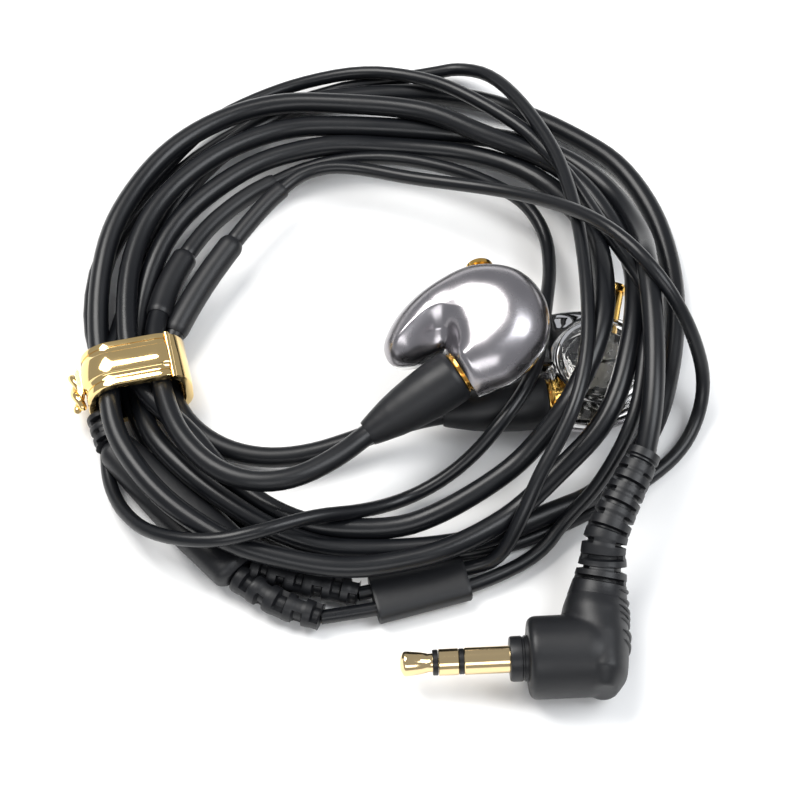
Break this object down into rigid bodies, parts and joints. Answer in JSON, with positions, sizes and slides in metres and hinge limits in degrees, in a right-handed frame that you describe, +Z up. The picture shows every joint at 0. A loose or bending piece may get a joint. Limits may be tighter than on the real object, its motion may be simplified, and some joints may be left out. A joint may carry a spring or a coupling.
{
  "type": "in ear monitors",
  "caption": "Pair of in-ear monitors with polished shells and clear driver housings on a detachable black cable, coiled in a hinged gold tie, with slider, Y split and angled stereo plug.",
  "frame": {"origin": "centre of the two earphones' bounding box in plan, on the table they lie on", "axes": "+Z up from the table, +X towards the earphones' right as seen from the plug's side, -Y towards the plug"},
  "size_m": [0.0863, 0.101, 0.02],
  "materials": {
    "polished_shell": "mirror-polished dark metal plating",
    "clear_resin": "clear smoky moulded resin, glossy",
    "gold_plate": "polished gold plating",
    "gold_tie": "polished pale gold plating",
    "plug_contact": "polished gold plating",
    "brass_core": "turned brass",
    "steel_mesh": "fine wire mesh",
    "duct_tube": "soft clear tube",
    "driver_can": "satin drawn metal cans",
    "circuit_board": "solder mask over laminate",
    "insulator": "black moulded plastic",
    "black_moulding": "satin black moulding",
    "black_rubber": "satin black elastomer",
    "cable_jacket": "satin black cable jacket",
    "wire_jacket": "satin black shrink tube over spring wire",
    "shrink_sleeve": "satin black heat-shrink tube"
  },
  "bodies": {
    "cable": {"cable_coil": "cable_jacket", "cable_crossing_turns": "cable_jacket", "cable_outer_turn": "cable_jacket", "left_connector_boot": "black_rubber", "left_formable_wire": "wire_jacket", "left_leg": "cable_jacket", "left_mmcx_contact": "gold_plate", "left_mmcx_plug": "gold_plate", "left_short_leg": "cable_jacket", "left_sleeve": "shrink_sleeve", "left_sleeve_tip": "shrink_sleeve", "plug_body": "black_moulding", "plug_boot": "black_rubber", "plug_collar": "black_moulding", "plug_core": "brass_core", "plug_insulators": "insulator", "plug_lead": "cable_jacket", "plug_ring": "plug_contact", "plug_sleeve": "plug_contact", "plug_tip": "plug_contact", "right_connector_boot": "black_rubber", "right_formable_wire": "wire_jacket", "right_leg": "cable_jacket", "right_mmcx_contact": "gold_plate", "right_mmcx_plug": "gold_plate", "right_short_leg": "cable_jacket", "right_sleeve": "shrink_sleeve", "right_sleeve_tip": "shrink_sleeve", "tie_base": "gold_tie", "tie_hinge_pin": "gold_tie", "y_split_body": "black_moulding", "y_split_left_relief": "black_rubber", "y_split_main_relief": "black_rubber", "y_split_right_relief": "black_rubber"},
    "left_earphone": {"left_outer_shell": "polished_shell", "left_clear_housing": "clear_resin", "left_nozzle": "gold_plate", "left_nozzle_screen": "steel_mesh", "left_sound_duct": "duct_tube", "left_woofer_driver": "driver_can", "left_midrange_driver": "driver_can", "left_tweeter_driver": "driver_can", "left_crossover_board": "circuit_board", "left_mmcx_socket": "gold_plate"},
    "right_earphone": {"right_outer_shell": "polished_shell", "right_clear_housing": "clear_resin", "right_nozzle": "gold_plate", "right_nozzle_screen": "steel_mesh", "right_sound_duct": "duct_tube", "right_woofer_driver": "driver_can", "right_midrange_driver": "driver_can", "right_tweeter_driver": "driver_can", "right_crossover_board": "circuit_board", "right_mmcx_socket": "gold_plate"},
    "slider": {"slider": "black_moulding"},
    "tie_cover": {"tie_cover": "gold_tie", "tie_clasp": "gold_tie"}
  },
  "joints": [
    {"name": "left_swivel", "type": "hinge", "parent": "cable", "child": "left_earphone", "pos_m": [-0.00854, -0.00712, 0.013], "axis": [0.832, 0.5018, 0.2368], "range_deg": [-15, 0]},
    {"name": "right_swivel", "type": "hinge", "parent": "cable", "child": "right_earphone", "pos_m": [0.00372, -0.00676, 0.00465], "axis": [0.9908, 0.1353, 0], "range_deg": [0, 3]},
    {"name": "slider_slide", "type": "slide", "parent": "cable", "child": "slider", "axis": [0.9673, 0.2538, 0], "range_m": [0, 0.0025]},
    {"name": "tie_hinge", "type": "hinge", "parent": "cable", "child": "tie_cover", "pos_m": [-0.04729, -0.0026, 0.0097], "axis": [-0.2079, 0.9781, 0], "range_deg": [0, 95]}
  ]
}
